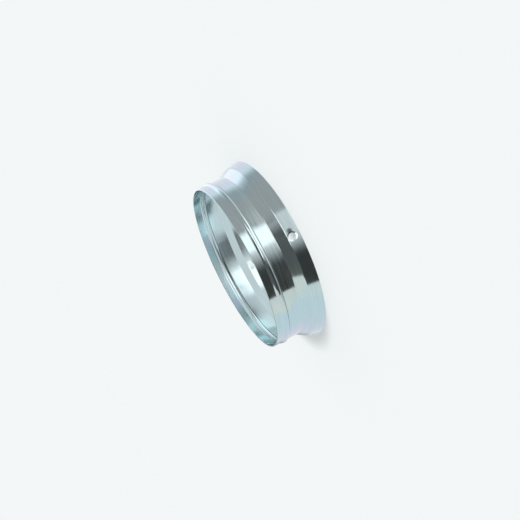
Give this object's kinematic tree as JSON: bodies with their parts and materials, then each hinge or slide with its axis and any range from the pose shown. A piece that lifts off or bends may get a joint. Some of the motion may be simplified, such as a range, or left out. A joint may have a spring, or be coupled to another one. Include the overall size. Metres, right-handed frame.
{
  "type": "heater duct adapter",
  "caption": "Formed steel ring joining a hot-air hose to a wider heater collar: hose end with bead, straight neck, cone and flared collar with screw holes.",
  "frame": {"origin": "centre of the collar's rim plane, where the ring stands", "axes": "+Z along the ring's axis from the wide collar up to the hose end; one screw hole faces -Y"},
  "size_m": [0.099, 0.099, 0.025],
  "materials": {
    "zinc_plate": "bright blue-white zinc plate with fine turning lines round the ring"
  },
  "bodies": {
    "root": {"adapter_ring": "zinc_plate"}
  },
  "joints": []
}
